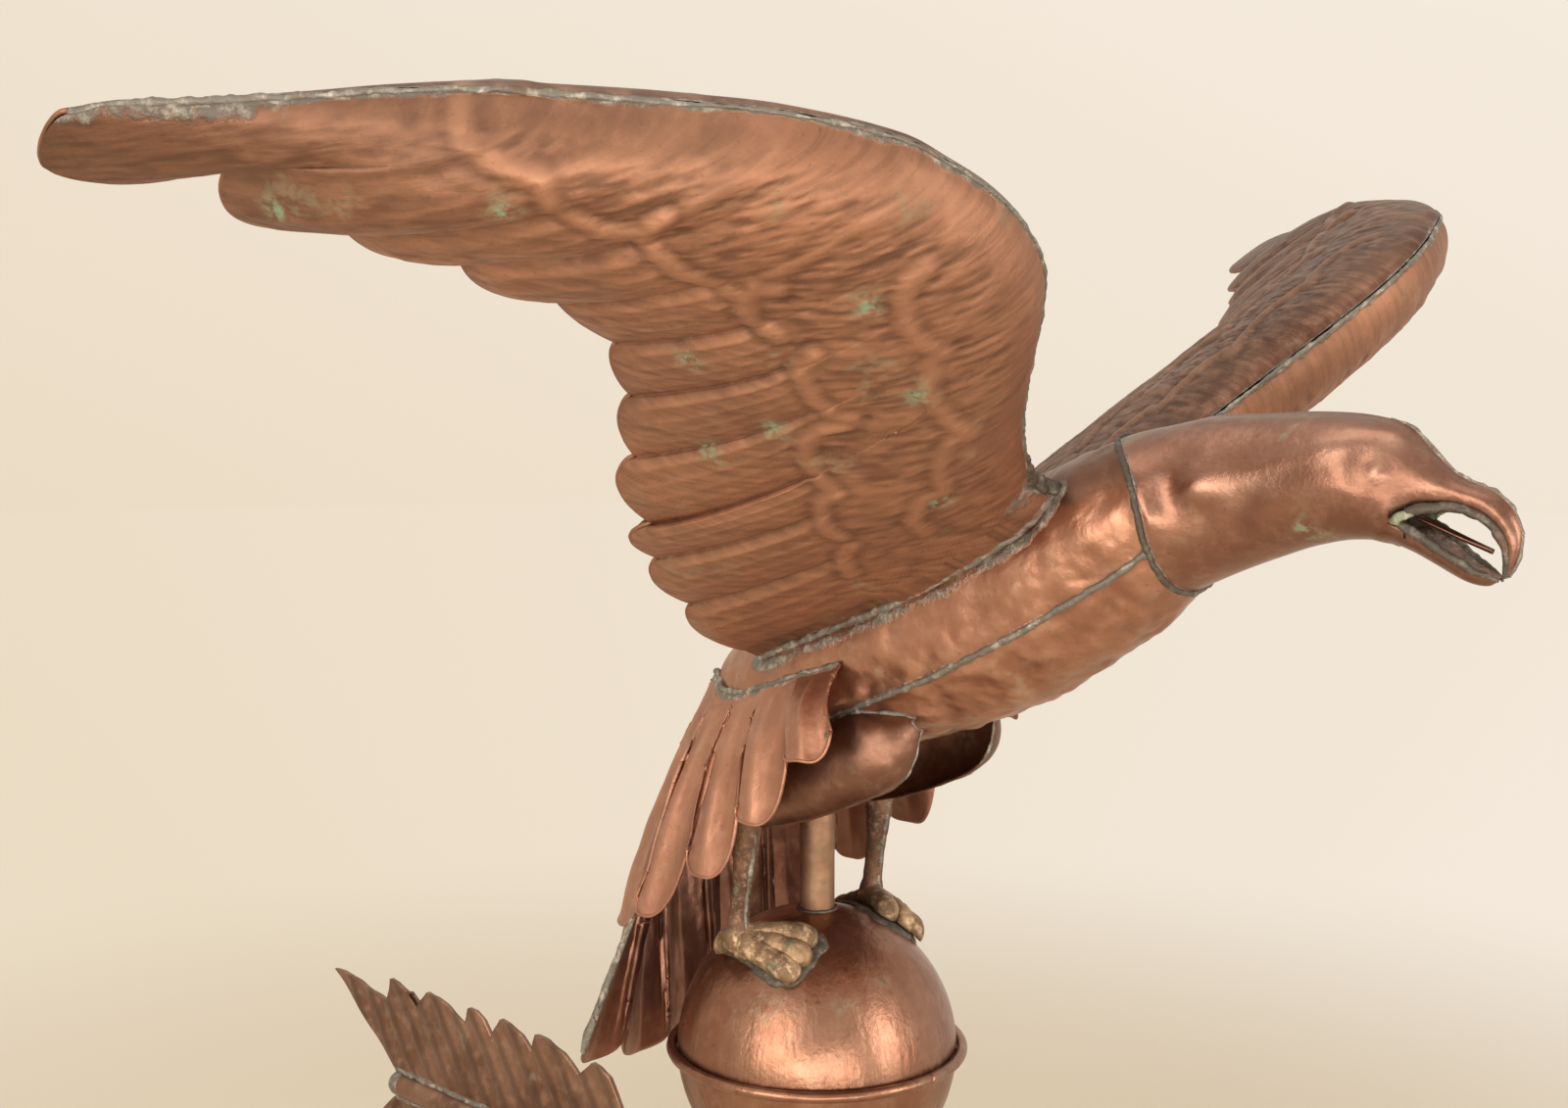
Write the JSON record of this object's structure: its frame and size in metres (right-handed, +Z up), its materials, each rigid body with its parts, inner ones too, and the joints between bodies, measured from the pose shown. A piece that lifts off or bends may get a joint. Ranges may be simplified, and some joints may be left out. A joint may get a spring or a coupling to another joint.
{
  "type": "eagle weathervane",
  "caption": "Hollow copper eagle with raised wings, standing on a ball over an arrow and turning freely on an upright iron rod to show the wind.",
  "frame": {"origin": "centre of the flat foot of the fixed rod", "axes": "+Z up along the rod that the vane turns on, +X toward the beak and the point of the arrow, +Y to the eagle's left"},
  "size_m": [0.8979, 0.8424, 0.7535],
  "materials": {
    "sheet_copper": "aged, hammered, satin",
    "tail_copper": "aged, dark red-brown",
    "ball_copper": "spun, smooth, aged",
    "solder": "dull grey solder",
    "cast_metal": "cast, worn gilt",
    "iron_rod": "wrought, dull"
  },
  "bodies": {
    "spindle": {"spindle_rod": "iron_rod"},
    "vane": {"ball_upper": "ball_copper", "ball_lower": "ball_copper", "ball_bead": "ball_copper", "ball_collar": "ball_copper", "standard_tube": "ball_copper", "bearing_cap": "cast_metal", "lower_bush": "cast_metal", "arrow_hub": "cast_metal", "arrow_shaft_front": "sheet_copper", "arrow_shaft_rear": "sheet_copper", "arrow_head": "sheet_copper", "fletching_upper": "sheet_copper", "fletching_lower": "sheet_copper", "back_shell": "sheet_copper", "breast_shell": "sheet_copper", "neck_ring": "solder", "head_right_shell": "sheet_copper", "head_left_shell": "sheet_copper", "lower_jaw": "sheet_copper", "tongue": "tail_copper", "right_wing_upper_shell": "sheet_copper", "right_wing_under_shell": "sheet_copper", "left_wing_upper_shell": "sheet_copper", "left_wing_under_shell": "sheet_copper", "tail_coverts": "sheet_copper", "tail_fan": "tail_copper", "right_thigh": "sheet_copper", "left_thigh": "sheet_copper", "right_leg": "cast_metal", "left_leg": "cast_metal", "right_foot": "cast_metal", "left_foot": "cast_metal", "right_foot_base": "solder", "left_foot_base": "solder"}
  },
  "joints": [
    {"name": "vane_spin", "type": "hinge", "parent": "spindle", "child": "vane", "pos_m": [0, 0, 0], "axis": [0, 0, 1], "continuous": true}
  ]
}
